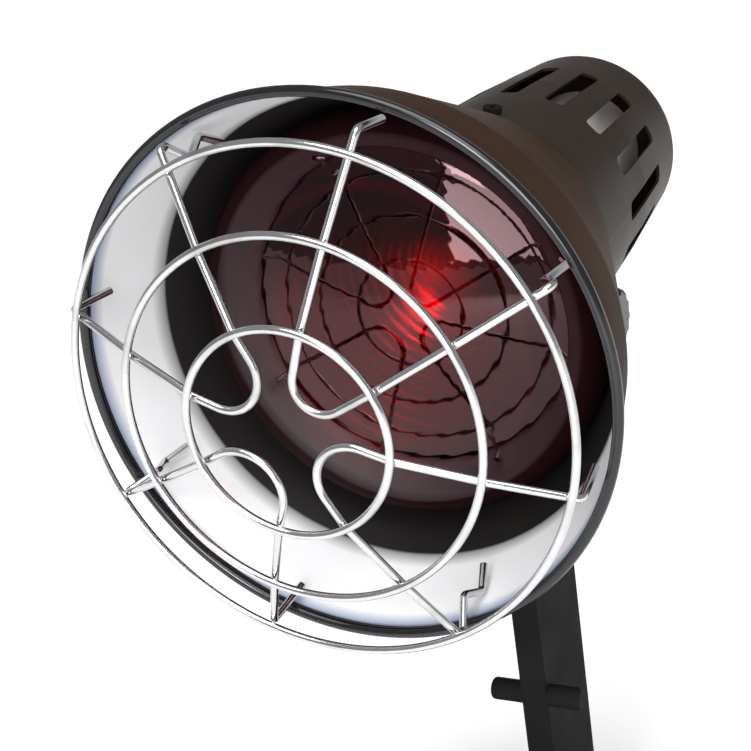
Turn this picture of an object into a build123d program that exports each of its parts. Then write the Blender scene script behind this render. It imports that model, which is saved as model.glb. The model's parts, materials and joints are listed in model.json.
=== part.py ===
from build123d import *
import math
import os

# Table-standing infrared heat lamp. Millimetres, +Z up, the lamp shines towards -Y.
# "back" is the distance along the lamp axis behind the plane of the outer guard ring.

# ---- driving dimensions ----
AXIS_HEIGHT = 270.0          # lamp axis above the table
GUARD_Y = -113.18            # plane of the outer guard ring
GUARD_DROP = 2.5             # the sprung guard hangs this much below the lamp axis

WIRE_RADIUS = 1.1
RING_RADII = {"outer": 70.0, "middle": 49.5, "inner": 28.0}
RING_BACKS = {"outer": 0.0, "middle": -7.5, "inner": -13.55}
SPOKE_SETBACK = 2.42         # spokes lie behind the rings they are welded to

RIM_RADIUS = 76.05
RIM_BACK = 14.4
BEAD_RADIUS = 1.45
SHEET = 1.0                  # shade and sleeve sheet
LINER_SHEET = 0.6
COLLAR_RADIUS = 39.2
COLLAR_BACKS = (108.4, 131.0)

SLEEVE_END = 230.0
SLOT_COUNT = 16
SLOT_BACKS = (153.5, 197.5)
SLOT_WIDTH = 6.2
SLOT_PHASE = -2.0
BRACKET_SLOTS = (11, 12, 13)  # left out where the tilt bracket is riveted on

BULB_RADIUS = 60.5
CAP_RADIUS = 13.2
CAP_BACKS = (190.5, 215.5)
HOLDER_RADIUS = 21.0
HOLDER_BACKS = (192.5, 224.0)

PIVOT_BACK = 182.0
PIVOT_DROP = 49.5            # tilt bolt below the lamp axis
PIVOT_BOLT_RADIUS = 3.0
KNOB_RADIUS = 10.5
RUNNING = 0.05               # radial clearance of running fits

ARM_WIDTH = 9.6
ARM_FRONT = 118.5
ARM_REAR = 160.5
PEG_DROP = 169.4
PEG_RADIUS = 4.0
PEG_SPAN = 33.0
PEG_EDGE = 1.3

BASE_SIZE = (140.0, 168.0)
BASE_CORNER = 42.0
BASE_TOP = 19.0
BASE_BACK = 104.0            # middle of the base, on the same scale
FOOT_HEIGHT = 3.0
ARM_FOOT = (44.0, 58.0, 6.0)

parts_folder = "parts"
os.makedirs(parts_folder, exist_ok=True)
written = []


def save(part, name):
    """Label a finished piece and write it as one STEP file."""
    part.label = name
    export_step(part, f"{parts_folder}/{name}.step")
    written.append(name)


def at(back):
    """Y of a place on the lamp axis."""
    return GUARD_Y + back


def head_point(radius, angle, back):
    """Cylindrical place about the lamp axis, angle from +X towards +Z."""
    turn = math.radians(angle)
    return Vector(radius * math.cos(turn), at(back), AXIS_HEIGHT + radius * math.sin(turn))


def side_plane(x=0.0):
    """Side-view plane: local x is the distance back, local y is height about the lamp axis."""
    return Plane(origin=(x, GUARD_Y, AXIS_HEIGHT), x_dir=(0, 1, 0), z_dir=(1, 0, 0))


def front_plane(back, height=AXIS_HEIGHT):
    """Plane across the lamp axis, facing back."""
    return Plane(origin=(0, at(back), height), x_dir=(-1, 0, 0), z_dir=(0, 1, 0))


# Profiles of round pieces are drawn with local x = radius and local y = back.
profile_plane = Plane(origin=(0, GUARD_Y, AXIS_HEIGHT), x_dir=(1, 0, 0), z_dir=(0, 0, 1))
lamp_axis = Axis((0, 0, AXIS_HEIGHT), (0, 1, 0))


# ---- wire guard ----
def ring_plane(back):
    return Plane(origin=(0, at(back), AXIS_HEIGHT - GUARD_DROP), x_dir=(1, 0, 0), z_dir=(0, 1, 0))


for ring_name, ring_radius in RING_RADII.items():
    with BuildPart(ring_plane(RING_BACKS[ring_name])) as ring:
        Torus(ring_radius, WIRE_RADIUS)
    save(ring.part, f"guard_ring_{ring_name}")


def leg_point(outer, vertex, radius, back):
    """Place on the straight leg from outer to vertex, seen from the front, at this radius."""
    run = vertex - outer
    a = run.dot(run)
    b = 2 * outer.dot(run)
    c = outer.dot(outer) - radius**2
    share = (-b - math.sqrt(b * b - 4 * a * c)) / (2 * a)
    place = outer + run * share
    return Vector(place.X, at(back), AXIS_HEIGHT - GUARD_DROP + place.Y)


def leg(angle, vertex):
    """The three crossings of one leg with the rings, from the outside in."""
    turn = math.radians(angle)
    outer = Vector(math.cos(turn), math.sin(turn), 0) * RING_RADII["outer"]
    return [
        leg_point(outer, vertex, RING_RADII[name], RING_BACKS[name] + SPOKE_SETBACK)
        for name in ("outer", "middle", "inner")
    ]


def leg_bend(angle, vertex, reach):
    """Where a leg turns back, this far from the lamp axis, and its angle about that axis."""
    turn = math.radians(angle)
    outer = Vector(math.cos(turn), math.sin(turn), 0) * RING_RADII["outer"]
    radius = reach + GUARD_DROP * math.sin(turn)
    rise = (RING_BACKS["outer"] - RING_BACKS["middle"]) / (RING_RADII["outer"] - RING_RADII["middle"])
    back = RING_BACKS["outer"] + SPOKE_SETBACK + (radius - RING_RADII["outer"]) * rise
    place = leg_point(outer, vertex, radius, back)
    return place, math.degrees(math.atan2(place.Z - AXIS_HEIGHT, place.X))


# Ends of the legs inside the rim, as (radius, back) about the lamp axis.
PLAIN_REACH = 72.5
PLAIN_END = [(70.8, 19.0)]
SPRING_REACH = 74.3
SPRING_END = [(67.2, 13.5), (71.0, 21.5), (66.8, 29.0)]
END_BEND = 2.2

# angles of the plain and the sprung leg, how far past the centre they aim, and the bend between
HAIRPINS = {
    "top": (72.5, 26.8, 3.4, 7.5),
    "left": (160.6, 115.5, 5.2, 9.5),
    "bottom": (250.0, 205.0, 9.0, 11.5),
    "right": (343.4, 296.5, 7.0, 10.0),
}
HAIRPIN_NOSE_BACK = RING_BACKS["inner"] + SPOKE_SETBACK - 1.0
for side, (angle_a, angle_b, past_centre, bend) in HAIRPINS.items():
    middle = math.radians((angle_a + angle_b) / 2)
    aim = Vector(-math.cos(middle), -math.sin(middle), 0) * past_centre
    nose = Vector(aim.X, at(HAIRPIN_NOSE_BACK), AXIS_HEIGHT - GUARD_DROP + aim.Y)
    bend_a, turn_a = leg_bend(angle_a, aim, PLAIN_REACH)
    bend_b, turn_b = leg_bend(angle_b, aim, SPRING_REACH)
    route = [head_point(radius, turn_a, back) for radius, back in reversed(PLAIN_END)]
    route += [bend_a] + leg(angle_a, aim)[1:] + [nose] + leg(angle_b, aim)[:0:-1] + [bend_b]
    route += [head_point(radius, turn_b, back) for radius, back in SPRING_END]
    bends = [END_BEND] * len(PLAIN_END) + [12, 8, bend, 8, 12] + [END_BEND] * len(SPRING_END)
    with BuildPart() as hairpin:
        with BuildLine() as wire:
            FilletPolyline(*route, radius=bends)
        with BuildSketch(Plane(origin=wire.line @ 0, z_dir=wire.line % 0)):
            Circle(WIRE_RADIUS)
        sweep(path=wire.line)
    save(hairpin.part, f"guard_hairpin_{side}")


# ---- shade, liner, rim ----
def spun_shell(outline, sheet):
    """Revolve an open outline, thickened inwards, about the lamp axis."""
    with BuildPart() as shell:
        with BuildSketch(profile_plane):
            with BuildLine():
                outline()
                offset(amount=sheet, side=Side.LEFT)
            make_face()
        revolve(axis=lamp_axis)
    return shell.part


SHADE_FRONT = (76.2, RIM_BACK + BEAD_RADIUS + 0.2)
BELLY = (69.9, 43.4)         # crease between the front band and the steeper cone
NECK = (46.3, 108.4)
LINER_GAP = 0.15
LINER_END = 103.5


def shade_outline():
    Polyline(
        SHADE_FRONT, BELLY, NECK, (COLLAR_RADIUS, COLLAR_BACKS[0]), (COLLAR_RADIUS, COLLAR_BACKS[1])
    )


def liner_outline():
    inset = SHEET + LINER_GAP
    taper = (BELLY[0] - NECK[0]) / (NECK[1] - BELLY[1])
    end_radius = NECK[0] + taper * (NECK[1] - LINER_END) - inset
    Polyline(
        (SHADE_FRONT[0] - inset, SHADE_FRONT[1]), (BELLY[0] - inset, BELLY[1]), (end_radius, LINER_END)
    )


save(spun_shell(liner_outline, LINER_SHEET), "reflector_liner")

with BuildPart(Plane(origin=(0, at(RIM_BACK), AXIS_HEIGHT), x_dir=(1, 0, 0), z_dir=(0, 1, 0))) as rim:
    Torus(RIM_RADIUS, BEAD_RADIUS)
save(rim.part, "rim_bead")

# ---- vented rear sleeve ----
SLEEVE_FLARE = (45.7, 108.87)
SLEEVE_FRONT = (41.0, 119.5)
SLEEVE_MIDDLE = (38.0, 173.5)
SLEEVE_SHOULDER = (34.3, 222.0)
GLAND_RADIUS = 6.0


def sleeve_radius(back):
    """Outside radius of the plain part of the sleeve."""
    if back < SLEEVE_MIDDLE[1]:
        low, high = SLEEVE_FRONT, SLEEVE_MIDDLE
    else:
        low, high = SLEEVE_MIDDLE, SLEEVE_SHOULDER
    return low[0] + (high[0] - low[0]) * (back - low[1]) / (high[1] - low[1])


def sleeve_outline():
    Polyline(SLEEVE_FLARE, SLEEVE_FRONT, SLEEVE_MIDDLE, SLEEVE_SHOULDER)
    edge = TangentArc(
        SLEEVE_SHOULDER,
        (27.5, SLEEVE_END),
        tangent=(SLEEVE_SHOULDER[0] - SLEEVE_MIDDLE[0], SLEEVE_SHOULDER[1] - SLEEVE_MIDDLE[1]),
    )
    Line(edge @ 1, (GLAND_RADIUS, SLEEVE_END))


NECK_SCREW_ANGLES = (80.0, 200.0, 320.0)
NECK_SCREW_BACK = 125.0
NECK_SCREW_RADIUS = 1.5
HOLDER_SCREW_OFFSET = 17.5
HOLDER_SCREW_RADIUS = 1.5
EARTH_DROP = 16.0
slot_middle = sum(SLOT_BACKS) / 2
slot_length = SLOT_BACKS[1] - SLOT_BACKS[0]
sleeve_shell = spun_shell(sleeve_outline, SHEET)


def radial_plane(angle, back, radius=0.0):
    """Plane facing straight out from the lamp axis; local y runs back."""
    turn = math.radians(angle)
    out = Vector(math.cos(turn), 0, math.sin(turn))
    across = Vector(0, 1, 0).cross(out)
    return Plane(origin=head_point(radius, angle, back), x_dir=across, z_dir=out)


RIVETS = [(163.5, 1), (163.5, -1), (200.5, 1), (200.5, -1)]
RIVET_ANGLE = 17.0
RIVET_RADIUS = 1.6
SEAT = 0.05                  # seated faces stand this far apart


def rivet_plane(back, side):
    """Plane facing out at a bracket rivet, 4 mm inside the sleeve's outside."""
    return radial_plane(-90 + side * RIVET_ANGLE, back, sleeve_radius(back) - 4)


with BuildPart() as sleeve:
    add(sleeve_shell)
    for back, side in RIVETS:
        with BuildSketch(rivet_plane(back, side)):
            Circle(RIVET_RADIUS + SEAT)
        extrude(amount=8, mode=Mode.SUBTRACT)
    for step in range(SLOT_COUNT):
        if step not in BRACKET_SLOTS:
            angle = SLOT_PHASE + step * 360 / SLOT_COUNT
            with BuildSketch(radial_plane(angle, slot_middle, 20)):
                RectangleRounded(SLOT_WIDTH, slot_length, 2.0)
            extrude(amount=30, mode=Mode.SUBTRACT)
    for angle in NECK_SCREW_ANGLES:
        with BuildSketch(radial_plane(angle, NECK_SCREW_BACK, 20)):
            Circle(NECK_SCREW_RADIUS + 0.1)
        extrude(amount=30, mode=Mode.SUBTRACT)
    with BuildSketch(front_plane(SLEEVE_END - 3)):
        with Locations((HOLDER_SCREW_OFFSET, 0), (-HOLDER_SCREW_OFFSET, 0)):
            Circle(HOLDER_SCREW_RADIUS + 0.1)
        with Locations((0, -EARTH_DROP)):
            Circle(2.1)
    extrude(amount=6, mode=Mode.SUBTRACT)
save(sleeve.part, "rear_sleeve")

with BuildPart() as neck_screws:
    for angle in NECK_SCREW_ANGLES:
        seat = sleeve_radius(NECK_SCREW_BACK) + 0.15
        with BuildSketch(radial_plane(angle, NECK_SCREW_BACK, seat)):
            Circle(2.9)
        extrude(amount=1.8)
        with BuildSketch(radial_plane(angle, NECK_SCREW_BACK, seat - 6)):
            Circle(NECK_SCREW_RADIUS)
        extrude(amount=6)
    # cross recess in each head
    for angle in NECK_SCREW_ANGLES:
        seat = sleeve_radius(NECK_SCREW_BACK) + 0.15
        with BuildSketch(radial_plane(angle, NECK_SCREW_BACK, seat + 0.8)):
            Rectangle(3.4, 0.8)
            Rectangle(0.8, 3.4)
        extrude(amount=2, mode=Mode.SUBTRACT)
save(neck_screws.part, "neck_screws")


def tube_along_axis(outer, inner, back_a, back_b):
    """Plain tube or rod about the lamp axis."""
    with BuildPart() as tube:
        with BuildSketch(front_plane(back_a)):
            Circle(outer)
            if inner:
                Circle(inner, mode=Mode.SUBTRACT)
        extrude(amount=back_b - back_a)
    return tube.part


# ---- shade, drilled through its collar for the neck screws ----
with BuildPart() as shade:
    add(spun_shell(shade_outline, SHEET))
    for angle in NECK_SCREW_ANGLES:
        with BuildSketch(radial_plane(angle, NECK_SCREW_BACK, 20)):
            Circle(NECK_SCREW_RADIUS + 0.1)
        extrude(amount=30, mode=Mode.SUBTRACT)
save(shade.part, "shade")

# ---- lampholder ----
BORE_RADIUS = 14.0
BORE_FLOOR = 216.5
WALL_INSIDE = SLEEVE_END - SHEET
TERMINALS = [(6.5, 11.3), (-6.5, 11.3)]
TERMINAL_RADIUS = 1.5
HOLDER_SCREWS = [(HOLDER_SCREW_OFFSET, 0), (-HOLDER_SCREW_OFFSET, 0)]
CONTACT_POST = 1.6

with BuildPart() as lampholder:
    add(tube_along_axis(HOLDER_RADIUS, BORE_RADIUS, HOLDER_BACKS[0], BORE_FLOOR))
    add(tube_along_axis(HOLDER_RADIUS, CONTACT_POST + SEAT, BORE_FLOOR, HOLDER_BACKS[1]))
    with BuildSketch(front_plane(BORE_FLOOR)):
        Circle(6.0)
    extrude(amount=3, mode=Mode.SUBTRACT)
    with BuildSketch(front_plane(HOLDER_BACKS[0])):
        with Locations(*HOLDER_SCREWS):
            Circle(HOLDER_SCREW_RADIUS + 0.1)
    extrude(amount=HOLDER_BACKS[1] - HOLDER_BACKS[0], mode=Mode.SUBTRACT)
    with BuildSketch(front_plane(HOLDER_BACKS[1])):
        with Locations(*TERMINALS):
            Circle(TERMINAL_RADIUS + SEAT)
    extrude(amount=-5, mode=Mode.SUBTRACT)
    chamfer(lampholder.edges().filter_by(GeomType.CIRCLE).group_by(Axis.Y)[0].sort_by(SortBy.RADIUS)[-1:], 1)
save(lampholder.part, "lampholder_body")

SCREW_SHELL_RADIUS = 13.85
save(tube_along_axis(SCREW_SHELL_RADIUS, 13.3, 194.5, BORE_FLOOR - SEAT), "lampholder_shell")

with BuildPart() as holder_contact:
    with BuildSketch(front_plane(218.15)):
        RectangleRounded(10, 5, 1.2)
    extrude(amount=0.7)
    with BuildSketch(front_plane(218.7)):
        Circle(CONTACT_POST)
    extrude(amount=HOLDER_BACKS[1] + 1 - 218.7)
save(holder_contact.part, "lampholder_contact")


def machine_screws(name, places, seat, radius, head_radius, head_height, shank):
    """Slotted round-head screws with their heads behind the seat and shanks running forward."""
    with BuildPart() as screws:
        with BuildSketch(front_plane(seat)):
            with Locations(*places):
                Circle(head_radius)
        extrude(amount=head_height)
        fillet(screws.faces().sort_by(Axis.Y)[-len(places):].edges(), head_height * 0.35)
        with BuildSketch(front_plane(seat + head_height * 0.55)):
            with Locations(*places):
                Rectangle(head_radius * 2.2, 0.8)
        extrude(amount=head_height, mode=Mode.SUBTRACT)
        with BuildSketch(front_plane(seat)):
            with Locations(*places):
                Circle(radius)
        extrude(amount=-shank)
    save(screws.part, name)


def hex_nuts(name, places, back, flats, bore, height):
    """Hexagon nuts lying across the lamp axis."""
    with BuildPart() as nuts:
        with BuildSketch(front_plane(back)):
            with Locations(*places):
                RegularPolygon(flats / 2, 6, major_radius=False)
                Circle(bore, mode=Mode.SUBTRACT)
        extrude(amount=height)
    save(nuts.part, name)


EARTH_PLACE = [(0, -EARTH_DROP)]
machine_screws("terminal_screws", TERMINALS, HOLDER_BACKS[1] + SEAT, TERMINAL_RADIUS, 2.6, 2.4, 4.5)
machine_screws("holder_screws", HOLDER_SCREWS, SLEEVE_END + SEAT, HOLDER_SCREW_RADIUS, 2.9, 1.9, 41)
machine_screws("earth_screw", EARTH_PLACE, SLEEVE_END + SEAT, 2.0, 3.6, 2.3, 5.4)
hex_nuts("holder_nuts", HOLDER_SCREWS, HOLDER_BACKS[0] - 2.45, 5.5, HOLDER_SCREW_RADIUS + SEAT, 2.4)
hex_nuts("earth_nut", EARTH_PLACE, WALL_INSIDE - 3.05, 7.0, 2.0 + SEAT, 3.0)

with BuildPart() as spacers:
    with BuildSketch(front_plane(HOLDER_BACKS[1] + SEAT)):
        with Locations(*HOLDER_SCREWS):
            Circle(3.4)
            Circle(HOLDER_SCREW_RADIUS + SEAT, mode=Mode.SUBTRACT)
    extrude(amount=WALL_INSIDE - HOLDER_BACKS[1] - 2 * SEAT)
save(spacers.part, "holder_spacers")

# ---- cord inlet ----
CORD_BORE = 3.2
GLAND_END = 241.0
GLAND_INNER_END = 225.4


def gland_outline():
    Polyline(
        (CORD_BORE, GLAND_INNER_END),
        (GLAND_RADIUS - 0.1, GLAND_INNER_END),
        (GLAND_RADIUS - 0.1, SLEEVE_END + SEAT),
        (9.0, SLEEVE_END + SEAT),
        (9.0, SLEEVE_END + 2.4),
        (7.4, SLEEVE_END + 3.4),
        (6.2, GLAND_END - 1.5),
        (5.0, GLAND_END),
        (CORD_BORE, GLAND_END),
        close=True,
    )


with BuildPart() as gland:
    with BuildSketch(profile_plane):
        with BuildLine():
            gland_outline()
        make_face()
    revolve(axis=lamp_axis)
save(gland.part, "cord_gland")
hex_nuts("gland_nut", [(0, 0)], WALL_INSIDE - 2.65, 15.0, GLAND_RADIUS - 0.05, 2.6)

# ---- heat bulb ----
GLASS = 1.0
BULB_TIP = 36.0
DOME_RADIUS = 130.8
DOME_ARC = 23.7              # degrees of shallow dome before the edge turns
GLASS_END = 198.0            # the sealed end, inside the cap
GLASS_FLANK = [
    (BULB_RADIUS, 61.8), (36.0, 104), (23.0, 136), (18.6, 176), (11.9, 189), (11.3, GLASS_END)
]


def glass_outline():
    dome = JernArc((0, BULB_TIP), (1, 0), DOME_RADIUS, DOME_ARC)
    flat = math.sin(math.radians(DOME_ARC))
    edge_radius = (BULB_RADIUS - DOME_RADIUS * flat) / (1 - flat)
    belly = JernArc(dome @ 1, dome % 1, edge_radius, 90 - DOME_ARC)
    FilletPolyline(belly @ 1, *GLASS_FLANK, radius=[8, 90, 60, 14, 4])


with BuildPart() as glass:
    with BuildSketch(profile_plane):
        with BuildLine():
            glass_outline()
            offset(amount=GLASS, side=Side.LEFT)
        make_face()
    revolve(axis=lamp_axis)
    with BuildSketch(front_plane(GLASS_END - GLASS)):
        Circle(10.9)
    extrude(amount=GLASS)
save(glass.part, "bulb_glass")

THREAD_PITCH = 3.6
THREAD_DEPTH = 0.75
with BuildPart() as cap:
    with BuildSketch(profile_plane):
        with BuildLine():
            crests = [(CAP_RADIUS - THREAD_DEPTH, CAP_BACKS[0])]
            for turn in range(6):
                start = CAP_BACKS[0] + 1.2 + turn * THREAD_PITCH
                crests += [(CAP_RADIUS - THREAD_DEPTH, start), (CAP_RADIUS, start + THREAD_PITCH / 2)]
            crests += [(CAP_RADIUS - THREAD_DEPTH, 213.2), (10.2, 214.4)]
            wall = Polyline(*crests)
            Polyline(wall @ 1, (10.2, 213.6), (12.05, 212.8), (12.05, 190.5), wall @ 0)
        make_face()
    revolve(axis=lamp_axis)
save(cap.part, "bulb_cap")

with BuildPart() as insulator:
    with BuildSketch(profile_plane):
        with BuildLine():
            Polyline(
                (0, 212.0), (10.1, 212.0), (10.1, 214.6), (5.2, 216.6), (0, 216.6), close=True
            )
        make_face()
    revolve(axis=lamp_axis)
save(insulator.part, "bulb_cap_insulator")

with BuildPart() as tip:
    with BuildSketch(front_plane(216.65)):
        Circle(4.8)
    extrude(amount=1.4)
    fillet(tip.faces().sort_by(Axis.Y)[-1].edges(), 1.1)
save(tip.part, "bulb_contact")

STEM_BACKS = (150.0, 196.9)
LEAD_OFFSET = 7.0
FILAMENT_BACK = 118.0
with BuildPart() as stem:
    with BuildSketch(profile_plane):
        with BuildLine():
            Polyline(
                (0, STEM_BACKS[0]), (4.2, STEM_BACKS[0]), (4.2, 180), (9.8, STEM_BACKS[1]), (0, STEM_BACKS[1]),
                close=True,
            )
        make_face()
    revolve(axis=lamp_axis)
save(stem.part, "bulb_stem")

with BuildPart() as leads:
    for side in (-1, 1):
        with BuildLine():
            lead = FilletPolyline(
                (side * 2.2, at(STEM_BACKS[0] - SEAT), AXIS_HEIGHT),
                (side * 2.2, at(143), AXIS_HEIGHT),
                (side * LEAD_OFFSET, at(132), AXIS_HEIGHT),
                (side * LEAD_OFFSET, at(FILAMENT_BACK + 1.7), AXIS_HEIGHT),
                radius=3,
            )
        with BuildSketch(Plane(origin=lead @ 0, z_dir=lead % 0)):
            Circle(0.6)
        sweep(path=lead)
save(leads.part, "bulb_leads")

with BuildPart(Plane(origin=(0, at(FILAMENT_BACK), AXIS_HEIGHT), z_dir=(0, 1, 0))) as filament:
    Torus(LEAD_OFFSET, 1.6)
save(filament.part, "bulb_filament")

# ---- tilt joint ----
EAR_INSIDE = ARM_WIDTH / 2 + 1.05
EAR_SHEET = 2.0
EAR_RADIUS = 8.0
SADDLE_BACKS = (160.0, 204.0)
SADDLE_SHEET = 1.5
SADDLE_ANGLE = 44.0
HOLE = PIVOT_BOLT_RADIUS + RUNNING
pivot = (PIVOT_BACK, -PIVOT_DROP)


def saddle_outline():
    Polyline(
        (sleeve_radius(SADDLE_BACKS[0]) + SEAT, SADDLE_BACKS[0]),
        (SLEEVE_MIDDLE[0] + SEAT, SLEEVE_MIDDLE[1]),
        (sleeve_radius(SADDLE_BACKS[1]) + SEAT, SADDLE_BACKS[1]),
    )
    offset(amount=SADDLE_SHEET, side=Side.RIGHT)


def ear_top(back):
    """Height of an ear's top edge, inside the saddle's thickness."""
    return -sleeve_radius(back) - SADDLE_SHEET / 2 - 0.1


with BuildPart() as clevis:
    with BuildSketch(profile_plane.rotated((0, 90 - SADDLE_ANGLE / 2, 0))):
        with BuildLine():
            saddle_outline()
        make_face()
    revolve(axis=lamp_axis, revolution_arc=SADDLE_ANGLE)
    for side in (-1, 1):
        ear_plane = side_plane(side * EAR_INSIDE)
        with BuildSketch(ear_plane):
            with Locations(pivot):
                Circle(EAR_RADIUS)
            with BuildLine():
                Polyline(
                    (pivot[0] - EAR_RADIUS, pivot[1]), (166, ear_top(166)), (199, ear_top(199)),
                    (pivot[0] + EAR_RADIUS, pivot[1]), close=True,
                )
            make_face()
            with Locations(pivot):
                Circle(HOLE, mode=Mode.SUBTRACT)
        extrude(amount=side * EAR_SHEET)
        # relief for the knob and the bolt head
        with BuildSketch(side_plane(side * (EAR_INSIDE + EAR_SHEET + 0.4))):
            with Locations(pivot):
                Circle(KNOB_RADIUS + 1)
        extrude(amount=side * 12, mode=Mode.SUBTRACT)
    for back, side in RIVETS:
        with BuildSketch(rivet_plane(back, side)):
            Circle(RIVET_RADIUS + SEAT)
        extrude(amount=10, mode=Mode.SUBTRACT)
save(clevis.part, "tilt_clevis")

with BuildPart() as rivets:
    for back, side in RIVETS:
        outside = 4 + SEAT + SADDLE_SHEET + 0.28
        with BuildSketch(rivet_plane(back, side).offset(outside)):
            Circle(2.7)
        extrude(amount=1.1)
        inside = 4 - SHEET - 0.32
        with BuildSketch(rivet_plane(back, side).offset(inside)):
            Circle(2.4)
        extrude(amount=-0.8)
        with BuildSketch(rivet_plane(back, side).offset(inside)):
            Circle(RIVET_RADIUS)
        extrude(amount=outside - inside)
save(rivets.part, "clevis_rivets")


def pivot_disc(name, radius, bore, x_from, thickness, mirrored=False):
    """Flat washer on the tilt bolt, with a twin on the other side if mirrored."""
    with BuildPart() as disc:
        for side in (1, -1) if mirrored else (1,):
            with BuildSketch(side_plane(side * x_from)):
                with Locations(pivot):
                    Circle(radius)
                    Circle(bore, mode=Mode.SUBTRACT)
            extrude(amount=side * thickness)
    save(disc.part, name)


BOSS_HALF = ARM_WIDTH / 2
EAR_OUTSIDE = EAR_INSIDE + EAR_SHEET
WASHER_THICKNESS = 1.2
KNOB_FROM = EAR_OUTSIDE + WASHER_THICKNESS + 0.3
KNOB_LENGTH = 14.1
INSERT_FLATS = 9.0
pivot_disc("friction_washers", 7.5, HOLE, BOSS_HALF + SEAT, EAR_INSIDE - BOSS_HALF - 2 * SEAT, True)
pivot_disc("tilt_washer", 7.8, HOLE, EAR_OUTSIDE + SEAT, WASHER_THICKNESS)

with BuildPart() as bolt:
    with BuildSketch(side_plane(-EAR_OUTSIDE - SEAT)):
        with Locations(pivot):
            RegularPolygon(5.0, 6, major_radius=False)
    extrude(amount=-4)
    with BuildSketch(side_plane(-EAR_OUTSIDE - SEAT)):
        with Locations(pivot):
            Circle(PIVOT_BOLT_RADIUS)
    extrude(amount=2 * EAR_OUTSIDE + 11)
    chamfer(bolt.faces().sort_by(Axis.X)[-1].edges(), 0.6)
save(bolt.part, "tilt_bolt")

INSERT_SPAN = (KNOB_FROM + 0.4, 11.0)
with BuildPart() as knob_insert:
    with BuildSketch(side_plane(INSERT_SPAN[0])):
        with Locations(pivot):
            RegularPolygon(INSERT_FLATS / 2, 6, major_radius=False)
            Circle(HOLE, mode=Mode.SUBTRACT)
    extrude(amount=INSERT_SPAN[1])
save(knob_insert.part, "knob_insert")

KNOB_FLUTES = 12
with BuildPart() as knob:
    with BuildSketch(side_plane(KNOB_FROM)):
        with Locations(pivot):
            Circle(KNOB_RADIUS)
            with PolarLocations(KNOB_RADIUS + 1.1, KNOB_FLUTES):
                Circle(2.0, mode=Mode.SUBTRACT)
    extrude(amount=KNOB_LENGTH)
    outer_face = knob.faces().sort_by(Axis.X)[-1]
    chamfer(outer_face.edges(), 1.2)
    with BuildSketch(side_plane(KNOB_FROM)):
        with Locations(pivot):
            RegularPolygon(INSERT_FLATS / 2 + SEAT, 6, major_radius=False)
    extrude(amount=INSERT_SPAN[1] + 0.5, mode=Mode.SUBTRACT)
save(knob.part, "tilt_knob")

# ---- arm ----
ARM_BASE = BASE_TOP + SEAT - AXIS_HEIGHT
FOOT_TOP = ARM_BASE + ARM_FOOT[2]
ARM_BACK = BASE_BACK + 36.0   # middle of the arm's foot
ARM_SCREWS = [(x, y) for x in (-15, 15) for y in (-20, 20)]
ARM_SCREW_RADIUS = 2.5
ARM_SCREW_DEPTH = 5.0
CRANK_BEND = 18.0
ARM_EDGE = 1.5

with BuildPart() as arm:
    with BuildSketch(side_plane(-BOSS_HALF)) as arm_outline:
        with BuildLine():
            Polyline(
                (ARM_FRONT, FOOT_TOP - 1), (ARM_FRONT, -118), (pivot[0] - 7.2, pivot[1] - 3.5),
                (pivot[0] + 3.5, pivot[1] - 7.2), (ARM_REAR, -100), (ARM_REAR, FOOT_TOP - 1), close=True,
            )
        make_face()
        crank_corners = arm_outline.vertices().sort_by(Axis.Y)[2:4]
        fillet(crank_corners, CRANK_BEND)
    extrude(amount=ARM_WIDTH)
    fillet(arm.faces().filter_by(Axis.X).edges(), ARM_EDGE)
    with BuildSketch(side_plane(-BOSS_HALF)):
        with Locations(pivot):
            Circle(EAR_RADIUS)
    extrude(amount=ARM_WIDTH)
    # cord pegs, flush with the arm's front face
    with BuildSketch(side_plane(-PEG_SPAN / 2)):
        with Locations((ARM_FRONT + PEG_RADIUS + 0.05, -PEG_DROP)):
            Circle(PEG_RADIUS)
    extrude(amount=PEG_SPAN)
    peg_ends = arm.faces().filter_by(Axis.X).sort_by(Axis.X)
    fillet(peg_ends[0].edges() + peg_ends[-1].edges(), PEG_EDGE)
    # foot flange, with blind screw holes
    with BuildSketch(Plane.XY.offset(AXIS_HEIGHT + ARM_BASE)):
        with Locations((0, at(ARM_BACK))):
            RectangleRounded(ARM_FOOT[0], ARM_FOOT[1], 8)
    extrude(amount=ARM_FOOT[2])
    with BuildSketch(Plane.XY.offset(AXIS_HEIGHT + ARM_BASE)):
        with Locations((0, at(ARM_BACK))):
            with Locations(*ARM_SCREWS):
                Circle(ARM_SCREW_RADIUS + SEAT)
    extrude(amount=ARM_SCREW_DEPTH, mode=Mode.SUBTRACT)
    with BuildSketch(side_plane(-BOSS_HALF - 1)):
        with Locations(pivot):
            Circle(HOLE)
    extrude(amount=ARM_WIDTH + 2, mode=Mode.SUBTRACT)
save(arm.part, "arm")

# ---- base ----
COVER_BOTTOM = FOOT_HEIGHT
COVER_SHEET = 2.5
COVER_EDGE = 6.0
COVER_POST = 5.0
PLATE_SHEET = 1.5
WEIGHT_HEIGHT = 8.0
FEET = [(x, y) for x in (-46, 46) for y in (-58, 58)]
FOOT_RADIUS = 9.0
FOOT_SCREW_RADIUS = 1.6
CUT = 1.0                    # how far cutting bodies overrun
base_middle = (0, at(BASE_BACK))


def base_plane(height):
    return Plane.XY.offset(height)


def base_outline(inset):
    """Rounded footprint of the base, drawn this much smaller all round."""
    with Locations(base_middle):
        RectangleRounded(BASE_SIZE[0] - 2 * inset, BASE_SIZE[1] - 2 * inset, BASE_CORNER - inset)


def base_circles(places, radius, mode=Mode.ADD):
    with Locations(base_middle):
        with Locations(*places):
            Circle(radius, mode=mode)


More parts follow.
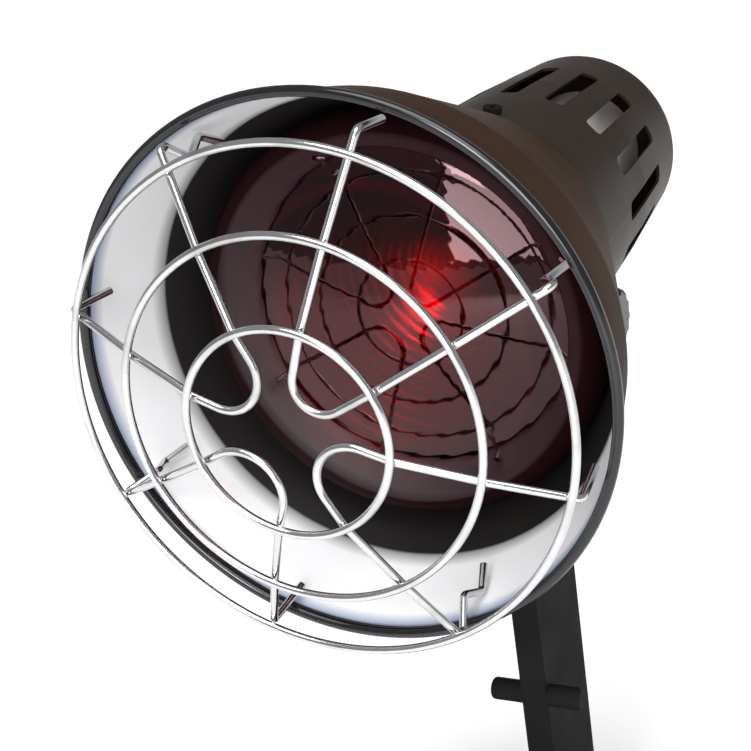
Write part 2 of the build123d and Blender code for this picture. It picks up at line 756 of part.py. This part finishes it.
arm_places = [(x, y + ARM_BACK - BASE_BACK) for x, y in ARM_SCREWS]
cover_ceiling = BASE_TOP - COVER_SHEET
plate_top = COVER_BOTTOM + SEAT + PLATE_SHEET
weight_bottom = cover_ceiling - SEAT - WEIGHT_HEIGHT

with BuildPart() as base_cover:
    with BuildSketch(base_plane(COVER_BOTTOM)):
        base_outline(0)
    extrude(amount=BASE_TOP - COVER_BOTTOM)
    fillet(base_cover.faces().sort_by(Axis.Z)[-1].edges(), COVER_EDGE)
    offset(amount=-COVER_SHEET, openings=base_cover.faces().sort_by(Axis.Z)[0])
    with BuildSketch(base_plane(plate_top + SEAT)):
        base_circles(FEET, COVER_POST)
    extrude(amount=cover_ceiling - plate_top)
    with BuildSketch(base_plane(plate_top)):
        base_circles(FEET, FOOT_SCREW_RADIUS + SEAT)
    extrude(amount=9, mode=Mode.SUBTRACT)
    with BuildSketch(base_plane(cover_ceiling - CUT)):
        base_circles(arm_places, ARM_SCREW_RADIUS + 0.1)
    extrude(amount=COVER_SHEET + 2 * CUT, mode=Mode.SUBTRACT)
save(base_cover.part, "base_cover")

with BuildPart() as base_weight:
    with BuildSketch(base_plane(weight_bottom)):
        base_outline(8)
        base_circles(FEET, COVER_POST + 1, Mode.SUBTRACT)
        base_circles(arm_places, ARM_SCREW_RADIUS + 0.1, Mode.SUBTRACT)
    extrude(amount=WEIGHT_HEIGHT)
save(base_weight.part, "base_weight")

with BuildPart() as base_plate:
    with BuildSketch(base_plane(COVER_BOTTOM + SEAT)):
        base_outline(COVER_SHEET + 0.2)
        base_circles(FEET, FOOT_SCREW_RADIUS + 0.1, Mode.SUBTRACT)
    extrude(amount=PLATE_SHEET)
save(base_plate.part, "base_plate")

with BuildPart() as base_feet:
    with BuildSketch(base_plane(0)):
        base_circles(FEET, FOOT_RADIUS)
        base_circles(FEET, FOOT_SCREW_RADIUS + SEAT, Mode.SUBTRACT)
    extrude(amount=FOOT_HEIGHT)
    with BuildSketch(base_plane(0)):
        base_circles(FEET, 3.6)
    extrude(amount=1.7, mode=Mode.SUBTRACT)
save(base_feet.part, "base_feet")


def upward_screws(name, places, seat, radius, head_radius, head_height, shank):
    """Screws driven up from below, with a slotted head under the seat."""
    with BuildPart() as screws:
        with BuildSketch(base_plane(seat)):
            base_circles(places, head_radius)
        extrude(amount=-head_height)
        with BuildSketch(base_plane(seat - head_height * 0.5)):
            with Locations(base_middle):
                with Locations(*places):
                    Rectangle(head_radius * 2.2, 0.9)
        extrude(amount=-head_height, mode=Mode.SUBTRACT)
        with BuildSketch(base_plane(seat)):
            base_circles(places, radius)
        extrude(amount=shank)
    save(screws.part, name)


upward_screws("base_screws", FEET, 1.65, FOOT_SCREW_RADIUS, 3.2, 1.3, 10.5)
arm_screw_tip = BASE_TOP + ARM_SCREW_DEPTH - 0.5
screw_seat = weight_bottom - SEAT
upward_screws(
    "arm_screws", arm_places, screw_seat, ARM_SCREW_RADIUS, 4.5, 2.9, arm_screw_tip - screw_seat
)
print(len(written), "nodes")
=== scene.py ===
import json
import math

import bpy
from mathutils import Matrix, Vector


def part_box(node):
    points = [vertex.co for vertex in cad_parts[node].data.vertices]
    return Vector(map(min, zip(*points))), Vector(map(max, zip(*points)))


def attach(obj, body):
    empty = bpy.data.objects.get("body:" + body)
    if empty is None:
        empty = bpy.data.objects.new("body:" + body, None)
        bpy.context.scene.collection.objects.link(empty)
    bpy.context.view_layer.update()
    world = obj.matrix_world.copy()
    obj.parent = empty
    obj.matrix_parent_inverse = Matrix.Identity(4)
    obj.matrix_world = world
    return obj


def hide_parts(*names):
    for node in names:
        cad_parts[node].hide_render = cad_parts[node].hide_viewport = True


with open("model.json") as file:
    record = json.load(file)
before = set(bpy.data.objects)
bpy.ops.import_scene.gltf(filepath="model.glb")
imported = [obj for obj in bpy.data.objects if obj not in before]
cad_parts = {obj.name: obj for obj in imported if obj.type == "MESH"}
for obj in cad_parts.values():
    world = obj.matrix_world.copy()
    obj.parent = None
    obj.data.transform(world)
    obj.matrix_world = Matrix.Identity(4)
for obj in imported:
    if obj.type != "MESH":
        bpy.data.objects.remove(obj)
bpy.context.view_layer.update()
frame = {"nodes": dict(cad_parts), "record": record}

# Metres, +Z up. The lamp shines towards -Y, and "back" is the distance behind the outer guard ring.


def middle(node):
    low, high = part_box(node)
    return (low + high) / 2


AXIS_HEIGHT = middle("rim_bead").z
GUARD_Y = middle("guard_ring_outer").y
MM = 0.001
scene = bpy.context.scene


def at(back):
    """Y of a place on the lamp axis, from millimetres behind the guard."""
    return GUARD_Y + back * MM


# ---------- materials ----------
class Paint:
    """A node material under construction."""

    def __init__(self, name):
        self.material = bpy.data.materials.new(name)
        self.material.use_nodes = True
        self.nodes = self.material.node_tree.nodes
        self.links = self.material.node_tree.links
        self.shader = self.nodes["Principled BSDF"]
        coordinates = self.nodes.new("ShaderNodeTexCoord")
        self.place = coordinates.outputs["Object"]

    def node(self, kind, inputs=None, **settings):
        made = self.nodes.new("ShaderNode" + kind)
        for key, value in settings.items():
            setattr(made, key, value)
        for key, value in (inputs or {}).items():
            if isinstance(value, bpy.types.NodeSocket):
                self.links.new(value, made.inputs[key])
            else:
                made.inputs[key].default_value = value
        return made

    def math(self, operation, a, b=0.0):
        return self.node("Math", {0: a, 1: b}, operation=operation).outputs[0]

    def noise(self, scale, detail=3.0, stretch=None):
        place = self.place
        if stretch:
            place = self.node("Mapping", {"Vector": place, "Scale": stretch}).outputs[0]
        made = self.node("TexNoise", {"Vector": place, "Scale": scale, "Detail": detail})
        return made.outputs["Fac"]

    def ramp(self, value, low, high, to_low, to_high):
        made = self.node(
            "MapRange",
            {"Value": value, "From Min": low, "From Max": high, "To Min": to_low, "To Max": to_high},
        )
        return made.outputs["Result"]

    def blend(self, share, a, b):
        made = self.node("Mix", data_type="RGBA")
        for socket, value in ((made.inputs["Factor"], share), (made.inputs["A"], a), (made.inputs["B"], b)):
            if isinstance(value, bpy.types.NodeSocket):
                self.links.new(value, socket)
            elif hasattr(value, "__len__"):
                socket.default_value = (*value, 1.0)
            else:
                socket.default_value = value
        return made.outputs["Result"]

    def set(self, **values):
        for key, value in values.items():
            socket = self.shader.inputs[key.replace("_", " ")]
            if isinstance(value, bpy.types.NodeSocket):
                self.links.new(value, socket)
            elif hasattr(value, "__len__") and len(value) == 3:
                socket.default_value = (*value, 1.0)
            else:
                socket.default_value = value

    def bump(self, height, distance, strength=1.0):
        made = self.node("Bump", {"Height": height, "Distance": distance, "Strength": strength})
        self.links.new(made.outputs["Normal"], self.shader.inputs["Normal"])

    def axis_place(self):
        """Radius about the lamp axis and distance behind the guard, both in metres."""
        parts = self.node("SeparateXYZ", {0: self.place})
        up = self.math("SUBTRACT", parts.outputs["Z"], AXIS_HEIGHT)
        squares = self.math("ADD", self.math("POWER", parts.outputs["X"], 2.0), self.math("POWER", up, 2.0))
        return self.math("SQRT", squares), self.math("SUBTRACT", parts.outputs["Y"], GUARD_Y)


def worn(name, base, metallic, roughness, shift=0.12, grain=700.0, depth=0.00004, dark=0.8, **extra):
    """General finish: mottled colour, uneven gloss and a fine surface grain."""
    paint = Paint(name)
    broad = paint.noise(45.0, 4.0)
    fine = paint.noise(grain, 2.0)
    shaded = tuple(channel * dark for channel in base)
    mottle = paint.ramp(broad, 0.35, 0.65, 0.0, 1.0)
    both = paint.math("ADD", broad, fine)
    paint.set(
        Base_Color=paint.blend(mottle, base, shaded),
        Metallic=metallic,
        Roughness=paint.ramp(both, 0.7, 1.3, roughness - shift / 2, roughness + shift / 2),
        **extra,
    )
    paint.bump(fine, depth, 0.6)
    return paint.material


def drawn_wire():
    """Bright plated wire with drawing marks and a little dulling."""
    paint = Paint("bright_wire")
    broad = paint.noise(60.0, 5.0)
    fine = paint.noise(1500.0, 3.0)
    dull = paint.ramp(broad, 0.52, 0.7, 0.0, 1.0)
    paint.set(
        Base_Color=paint.blend(dull, (0.60, 0.60, 0.61), (0.43, 0.425, 0.42)),
        Metallic=1.0,
        Roughness=paint.ramp(paint.math("ADD", dull, fine), 0.4, 1.6, 0.10, 0.24),
    )
    paint.bump(fine, 0.00003, 0.5)
    return paint.material


def spun_metal(name, base, shade, metallic, roughness, pitch, depth, **extra):
    """Sheet spun on a lathe: fine rings round the lamp axis, uneven gloss."""
    paint = Paint(name)
    radius, back = paint.axis_place()
    travel = paint.math("ADD", back, paint.math("MULTIPLY", radius, 0.7))
    wander = paint.math("MULTIPLY", paint.noise(14.0, 2.0), pitch * 3)
    turned = paint.math("MULTIPLY", paint.math("ADD", travel, wander), 2 * math.pi / pitch)
    rings = paint.math("SINE", turned)
    lines = paint.node(
        "TexNoise", {"W": paint.math("MULTIPLY", travel, 2.6 / pitch), "Scale": 1.0, "Detail": 4.0},
        noise_dimensions="1D",
    ).outputs["Fac"]
    cloud = paint.noise(26.0, 4.0)
    mixed = paint.math("ADD", paint.math("MULTIPLY", lines, 0.6), paint.math("MULTIPLY", cloud, 0.4))
    paint.set(
        Base_Color=paint.blend(paint.ramp(mixed, 0.35, 0.65, 0.0, 1.0), base, shade),
        Metallic=metallic,
        Roughness=paint.ramp(mixed, 0.3, 0.7, roughness - 0.05, roughness + 0.07),
        **extra,
    )
    height = paint.math("ADD", paint.math("MULTIPLY", rings, 0.35), paint.math("MULTIPLY", lines, 1.4))
    paint.bump(height, depth, 0.7)
    return paint.material


def clear_stem():
    """Glass of the stem inside the bulb, faintly clouded."""
    paint = Paint("stem_glass")
    cloud = paint.noise(90.0, 2.0)
    paint.set(
        Base_Color=paint.blend(cloud, (0.92, 0.95, 0.95), (0.80, 0.86, 0.86)),
        Roughness=paint.ramp(cloud, 0.3, 0.7, 0.02, 0.12),
        Transmission_Weight=0.9,
        IOR=1.5,
    )
    return paint.material


# stretches of the liner, in metres behind the guard: painted bluish reflection by the lip, painted grey
# fringe, and the painted dark reflection of the bulb past the crease
LIP_BLUE_REFLECTION = (0.0160, 0.0200)
REFLECTION_FRINGE = (0.0385, 0.0430)
CREASE_DARK_REFLECTION = (0.0434, 0.0444)


def reflector_finish():
    """Satin reflector, near white at its mouth, with painted light: a bluish reflection along the bead, and
    past its crease the bulb's dark reflection with a grey fringe.
    """
    paint = Paint("bright_liner")
    radius, back = paint.axis_place()
    cloud = paint.noise(26.0, 4.0)
    rings = paint.node(
        "TexNoise", {"W": paint.math("MULTIPLY", back, 2400.0), "Scale": 1.0, "Detail": 3.0},
        noise_dimensions="1D",
    ).outputs["Fac"]
    clean = paint.blend(cloud, (0.86, 0.865, 0.875), (0.83, 0.84, 0.855))
    # painted bluish reflection along the bead
    blue_reflected = paint.blend(paint.ramp(back, *LIP_BLUE_REFLECTION, 1.0, 0.0), clean, (0.30, 0.36, 0.48))
    # painted grey fringe before the bulb's painted dark reflection
    reflection_fringed = paint.blend(paint.ramp(back, *REFLECTION_FRINGE, 0.0, 1.0), blue_reflected, (0.34, 0.34, 0.345))
    # past the crease, the painted dark reflection of the bulb, with an uneven edge
    uneven_back = paint.math("ADD", back, paint.math("MULTIPLY", cloud, 0.0006))
    dark_reflection_share = paint.ramp(uneven_back, *CREASE_DARK_REFLECTION, 0.0, 1.0)
    paint.set(
        Base_Color=paint.blend(dark_reflection_share, reflection_fringed, (0.011, 0.009, 0.009)),
        Metallic=0.15,
        Roughness=paint.ramp(paint.math("ADD", cloud, rings), 0.7, 1.3, 0.36, 0.48),
    )
    paint.bump(rings, 0.000004, 0.5)
    return paint.material


# one finish for each material slot in the frame, except red_glass, which the bulb pieces below carry
slot_paints = {
    "guard_wire": drawn_wire(),
    "rim": worn("rim_black", (0.006, 0.006, 0.008), 0.0, 0.14, grain=400, depth=0.00001),
    "shade_paint": spun_metal(
        "bronze_enamel", (0.040, 0.020, 0.011), (0.029, 0.014, 0.0075), 0.0, 0.40, 0.0008, 0.00001,
        Specular_IOR_Level=0.004,
    ),
    "sleeve_paint": spun_metal(
        "dark_enamel", (0.022, 0.0145, 0.0105), (0.016, 0.010, 0.007), 0.0, 0.36, 0.0008, 0.000006,
        Specular_IOR_Level=0.05,
    ),
    "zinc_steel": worn("zinc_steel", (0.55, 0.55, 0.54), 1.0, 0.32),
    "porcelain": worn("porcelain", (0.78, 0.76, 0.70), 0.0, 0.22, grain=500, dark=0.93, Coat_Weight=0.5),
    "nickel": worn("nickel", (0.66, 0.63, 0.56), 1.0, 0.22),
    "brass": worn("brass", (0.62, 0.46, 0.20), 1.0, 0.26),
    "cap_metal": worn("cap_metal", (0.72, 0.72, 0.71), 1.0, 0.28),
    "black_glass": worn("black_glass", (0.012, 0.012, 0.014), 0.0, 0.12),
    "solder": worn("solder", (0.52, 0.52, 0.53), 1.0, 0.42),
    "tungsten": worn("tungsten", (0.20, 0.20, 0.21), 1.0, 0.45),
    "black_paint": worn(
        "powder_black", (0.012, 0.012, 0.0125), 0.0, 0.46, grain=2600, depth=0.00003, Specular_IOR_Level=0.01
    ),
    "fibre": worn("fibre", (0.20, 0.09, 0.05), 0.0, 0.7, grain=1800),
    "knob_plastic": worn("knob_black", (0.012, 0.012, 0.013), 0.0, 0.30, grain=1500, depth=0.00002),
    "gland_plastic": worn("nylon_black", (0.020, 0.020, 0.021), 0.0, 0.42, grain=1500),
    "cast_weight": worn("cast_iron", (0.13, 0.125, 0.12), 0.8, 0.6, grain=500, depth=0.0002),
    "rubber": worn("rubber", (0.022, 0.022, 0.023), 0.0, 0.75, grain=1200, depth=0.0001),
    "clear_glass": clear_stem(),
    "liner": reflector_finish(),
}


# radii, in metres, over which the bulb's red turns to painted shade, dark and then opaque, and the mirror's
# painted red glow fades
EDGE_PAINTED_DARK = (0.030, 0.048)
EDGE_PAINTED_OPAQUE = (0.044, 0.056)
MIRROR_PAINTED_GLOW = (0.010, 0.038)


def ruby_lens():
    """Ruby glass front: deep clear red through the middle; towards its edge, painted shade turns it dark and
    nearly opaque.
    """
    paint = Paint("ruby_lens")
    radius, back = paint.axis_place()
    wander = paint.math("MULTIPLY", paint.noise(40.0), 0.006)
    reach = paint.math("ADD", radius, wander)
    # painted shade: towards the edge the glass turns dark and then opaque
    painted_opaque_share = paint.ramp(reach, *EDGE_PAINTED_OPAQUE, 0.0, 1.0)
    painted_dark_share = paint.ramp(reach, *EDGE_PAINTED_DARK, 0.0, 1.0)
    paint.set(
        Base_Color=paint.blend(painted_dark_share, (0.50, 0.004, 0.008), (0.010, 0.0020, 0.0028)),
        Roughness=paint.ramp(paint.noise(300.0), 0.4, 0.7, 0.012, 0.04),
        Transmission_Weight=paint.ramp(painted_opaque_share, 0.0, 1.0, 1.0, 0.05),
        IOR=1.5,
        Specular_IOR_Level=0.36,
        Specular_Tint=(0.95, 0.60, 0.64),
    )
    stipple = paint.node("TexVoronoi", {"Vector": paint.place, "Scale": 900.0}).outputs["Distance"]
    paint.bump(paint.math("MULTIPLY", stipple, painted_opaque_share), 0.00001, 0.5)
    return paint.material


def ruby_mirror():
    """The silvering behind the ruby glass, seen through it: a painted red glow of reflected light round its
    middle, streaked by spun rings, fading dark outwards.
    """
    paint = Paint("ruby_mirror")
    radius, back = paint.axis_place()
    cloud = paint.noise(50.0, 4.0)
    rings = paint.math("SINE", paint.math("MULTIPLY", radius, 2 * math.pi / 0.0026))
    uneven_radius = paint.math("ADD", radius, paint.math("MULTIPLY", cloud, 0.012))
    # painted red glow of reflected light, brightest round the middle and streaked by the rings
    depth = paint.ramp(uneven_radius, *MIRROR_PAINTED_GLOW, 0.0, 1.0)
    glow_and_rings = paint.math("ADD", depth, paint.math("MULTIPLY", rings, 0.16))
    paint.set(
        Base_Color=paint.blend(glow_and_rings, (0.95, 0.06, 0.06), (0.016, 0.0015, 0.002)),
        Metallic=0.8,
        Roughness=paint.ramp(cloud, 0.3, 0.7, 0.16, 0.30),
    )
    return paint.material


def smoked_flask():
    """Outside of the silvered bulb, behind the ruby front."""
    paint = Paint("smoked_flask")
    cloud = paint.noise(70.0, 4.0)
    paint.set(
        Base_Color=paint.blend(cloud, (0.030, 0.022, 0.023), (0.016, 0.011, 0.012)),
        Metallic=0.2,
        Roughness=paint.ramp(cloud, 0.3, 0.7, 0.08, 0.2),
        Coat_Weight=1.0,
        Coat_Roughness=0.03,
    )
    return paint.material


# ---------- meshes ----------
def finished(mesh, name, material, body, nodes):
    """Wraps up a new piece: smooth shading, material, body, and the CAD nodes it stands for."""
    piece = bpy.data.objects.new(name, mesh)
    scene.collection.objects.link(piece)
    mesh.materials.append(material)
    mesh.polygons.foreach_set("use_smooth", [True] * len(mesh.polygons))
    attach(piece, body)
    if nodes:
        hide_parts(*nodes)


TURNS = 240


def lathe(outline):
    """Revolves (radius, back) points in millimetres about the lamp axis. A zero radius closes to a point."""
    points, faces, rows = [], [], []
    for radius, back in outline:
        if radius < 1e-6:
            rows.append([len(points)] * TURNS)
            points.append((0.0, at(back), AXIS_HEIGHT))
            continue
        row = []
        for step in range(TURNS):
            angle = 2 * math.pi * step / TURNS
            row.append(len(points))
            points.append(
                (radius * MM * math.cos(angle), at(back), AXIS_HEIGHT + radius * MM * math.sin(angle))
            )
        rows.append(row)
    for first, second in zip(rows, rows[1:]):
        for step in range(TURNS):
            after = (step + 1) % TURNS
            face = [first[step], second[step], second[after], first[after]]
            face = list(dict.fromkeys(face))
            if len(face) > 2:
                faces.append(face)
    mesh = bpy.data.meshes.new("lathe")
    mesh.from_pydata(points, [], faces)
    mesh.validate()
    return mesh


def arc(start, end, sag, steps):
    """Points on a circular arc between two places, bulging to the left of the way from start to end."""
    (x0, y0), (x1, y1) = start, end
    length = math.hypot(x1 - x0, y1 - y0)
    radius = (length**2 / 4 + sag**2) / (2 * sag)
    left_x, left_y = -(y1 - y0) / length, (x1 - x0) / length
    centre_x = (x0 + x1) / 2 + left_x * (sag - radius)
    centre_y = (y0 + y1) / 2 + left_y * (sag - radius)
    first = math.atan2(y0 - centre_y, x0 - centre_x)
    last = math.atan2(y1 - centre_y, x1 - centre_x)
    while last - first > math.pi:
        last -= 2 * math.pi
    while last - first < -math.pi:
        last += 2 * math.pi
    made = []
    for step in range(steps + 1):
        angle = first + (last - first) * step / steps
        made.append((centre_x + abs(radius) * math.cos(angle), centre_y + abs(radius) * math.sin(angle)))
    return made


# ---------- the bulb ----------
# millimetres, as (radius, back)
GLASS_LOW, GLASS_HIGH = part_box("bulb_glass")
TIP = (GLASS_LOW.y - GUARD_Y) / MM
BULB_RADIUS = GLASS_HIGH.x / MM
GLASS_WALL = 0.9
LENS_RIM = 1.5               # how far the lens goes on behind the bulb's widest place
DOME_RADIUS = 130.8
DOME_ARC = math.radians(23.7)
DOME_REACH = DOME_RADIUS * math.sin(DOME_ARC)
EDGE_RADIUS = (BULB_RADIUS - DOME_REACH) / (1 - math.sin(DOME_ARC))
EDGE_CENTRE_RADIUS = BULB_RADIUS - EDGE_RADIUS
EDGE_CENTRE_BACK = TIP + DOME_RADIUS - (DOME_RADIUS - EDGE_RADIUS) * math.cos(DOME_ARC)
RIPPLE_PITCH = 3.1
RIPPLE_HEIGHT = 0.004
RIPPLE_START = 12            # radius where the ripples reach their full height
RIPPLE_END = 58              # and where they have died out, over the last stretch
RIPPLE_FADE = 6


def dome_back(radius):
    """Front of the glass: a shallow dome turning into a rounded edge."""
    if radius < DOME_REACH:
        return TIP + DOME_RADIUS - math.sqrt(DOME_RADIUS**2 - radius**2)
    return EDGE_CENTRE_BACK - math.sqrt(max(EDGE_RADIUS**2 - (radius - EDGE_CENTRE_RADIUS) ** 2, 0.0))


def ripple(radius):
    """Moulded rings in the glass front, fading out at its middle and edge."""
    fade = min(1.0, radius / RIPPLE_START) * min(1.0, max(0.0, (RIPPLE_END - radius) / RIPPLE_FADE))
    return RIPPLE_HEIGHT * fade * (1 + math.sin(2 * math.pi * radius / RIPPLE_PITCH))


LENS_ROWS = 180
front = []
for row in range(LENS_ROWS + 1):
    radius = BULB_RADIUS * math.sin(math.pi / 2 * row / LENS_ROWS)
    front.append((radius, dome_back(radius) + ripple(radius)))
belly = front[-1][1]


def lens_outline():
    """Outside of the front, round its rim, and back along the inside."""
    outside = front + [(BULB_RADIUS, belly + 0.8), (BULB_RADIUS - 0.1, belly + LENS_RIM)]
    inner_radius = BULB_RADIUS - GLASS_WALL
    rim = [(inner_radius, belly + LENS_RIM), (inner_radius, belly + GLASS_WALL)]
    inside = [(r - GLASS_WALL * (r / BULB_RADIUS), b + GLASS_WALL) for r, b in reversed(front)]
    return outside + rim + inside


def flask_outline():
    """Flask behind the front: rolled edge, cone, neck, and the stub that the cap covers."""
    edge = [(BULB_RADIUS - 0.2, belly + 1.7), (BULB_RADIUS - 0.7, belly + 2.2)]
    edge += [(BULB_RADIUS - 0.6, belly + 2.8), (BULB_RADIUS - 2.0, belly + 5.2)]
    cone = arc((57.6, belly + 7.2), (36.2, 103.5), 0.6, 16) + arc((34.8, 106.5), (22.6, 138), -1.0, 12)
    neck = arc((22.0, 141.0), (18.4, 176.0), -0.2, 10) + arc((17.6, 180.0), (11.9, 189.0), 1.2, 8)
    stub = [(11.4, 192.0), (11.3, 197.9), (0, 197.9)]
    return edge + cone + neck + stub


MIRROR_ROWS = 120
MIRROR_RADIUS = BULB_RADIUS - 1.6
MIRROR_MIDDLE = 14           # radius of the closed middle
MIRROR_DEPTH = 44
MIRROR_CURVE = 1.6           # power of the bowl's curve
RING_PITCH = 2.6
RING_HEIGHT = 0.06


def mirror_outline():
    """Silvered bowl inside the flask, with spun rings, closed by a shallow middle."""
    rows = []
    for row in range(MIRROR_ROWS):
        share = row / (MIRROR_ROWS - 1)
        radius = MIRROR_RADIUS * (1 - share) + MIRROR_MIDDLE * share
        back = belly + 2.0 + MIRROR_DEPTH * (1 - (radius / MIRROR_RADIUS) ** MIRROR_CURVE)
        rows.append((radius, back + RING_HEIGHT * math.sin(2 * math.pi * radius / RING_PITCH)))
    return rows + [(0, rows[-1][1] + 1.0)]


finished(lathe(lens_outline()), "bulb_lens", ruby_lens(), "bulb", ["bulb_glass"])
finished(lathe(flask_outline()), "bulb_flask", smoked_flask(), "bulb", [])
finished(lathe(mirror_outline()), "bulb_mirror", ruby_mirror(), "bulb", [])

# ---------- finishes of the CAD pieces ----------
slots = {row["node"]: row["material_slot"] for row in frame["record"]["subparts"]}
for node, piece in frame["nodes"].items():
    paint = slot_paints.get(slots[node])
    if paint is None:
        continue
    piece.data.materials.clear()
    piece.data.materials.append(paint)


# ---------- floor, light, camera ----------
FLOOR_REACH = 30.0
WORLD_STRENGTH = 0.36
SUN_STRENGTH = 2.7
SUN_SPREAD = 50              # degrees across, which softens the shadows
SUN_DIRECTION = (-0.15, 0.35, -1.0)
SENSOR_WIDTH = 36.0
LENS_LENGTH = 76.70
# the view was worked out from the ellipses of the guard's rings in the photograph
CAMERA_PLACE = (0.1890, GUARD_Y - 0.3188, AXIS_HEIGHT + 0.1566)
CAMERA_RIGHT = Vector((0.9003, 0.4124, -0.1393))
CAMERA_UP = Vector((-0.0428, 0.4023, 0.9145))


def floor_paint():
    """Pale, slightly clouded surface that the lamp stands on."""
    paint = Paint("pale_floor")
    cloud = paint.noise(3.0, 3.0)
    paint.set(Base_Color=paint.blend(cloud, (0.93, 0.93, 0.93), (0.90, 0.90, 0.90)), Roughness=0.9)
    return paint.material


floor_mesh = bpy.data.meshes.new("floor")
corners = [(-1, -1), (1, -1), (1, 1), (-1, 1)]
floor_mesh.from_pydata([(x * FLOOR_REACH, y * FLOOR_REACH, 0) for x, y in corners], [], [(0, 1, 2, 3)])
floor_mesh.materials.append(floor_paint())
floor = bpy.data.objects.new("floor", floor_mesh)
scene.collection.objects.link(floor)

world = bpy.data.worlds.new("studio")
scene.world = world
world.use_nodes = True
world.node_tree.nodes["Background"].inputs["Color"].default_value = (1.0, 1.0, 1.0, 1.0)
world.node_tree.nodes["Background"].inputs["Strength"].default_value = WORLD_STRENGTH


def softbox(name, place, target, size, power):
    """A rectangular white light at a place, facing its target."""
    light = bpy.data.lights.new(name, "AREA")
    light.shape = "RECTANGLE"
    light.size, light.size_y = size
    light.energy = power
    lamp = bpy.data.objects.new(name, light)
    lamp.location = place
    lamp.rotation_mode = "QUATERNION"
    lamp.rotation_quaternion = (Vector(target) - Vector(place)).to_track_quat("-Z", "Y")
    scene.collection.objects.link(lamp)


head = (0.0, 0.0, AXIS_HEIGHT)
softbox("window", (0.42, -1.75, 0.86), head, (0.92, 1.10), 32.0)
softbox("window_top", (0.22, -1.62, 1.14), head, (0.40, 0.22), 5.0)

overhead_data = bpy.data.lights.new("overhead", "SUN")
overhead_data.energy = SUN_STRENGTH
overhead_data.angle = math.radians(SUN_SPREAD)
overhead = bpy.data.objects.new("overhead", overhead_data)
overhead.rotation_mode = "QUATERNION"
overhead.rotation_quaternion = Vector(SUN_DIRECTION).to_track_quat("-Z", "Y")
scene.collection.objects.link(overhead)

camera_data = bpy.data.cameras.new("camera")
camera_data.sensor_width = SENSOR_WIDTH
camera_data.lens = LENS_LENGTH
camera = bpy.data.objects.new("camera", camera_data)
scene.collection.objects.link(camera)
axes = (CAMERA_RIGHT, CAMERA_UP, CAMERA_RIGHT.cross(CAMERA_UP))
turn = Matrix([[axis[row] for axis in axes] for row in range(3)]).to_4x4()
camera.matrix_world = Matrix.Translation(CAMERA_PLACE) @ turn
camera_data.clip_start = 0.01
camera_data.clip_end = 100.0
scene.camera = camera
scene.view_settings.view_transform = "Standard"
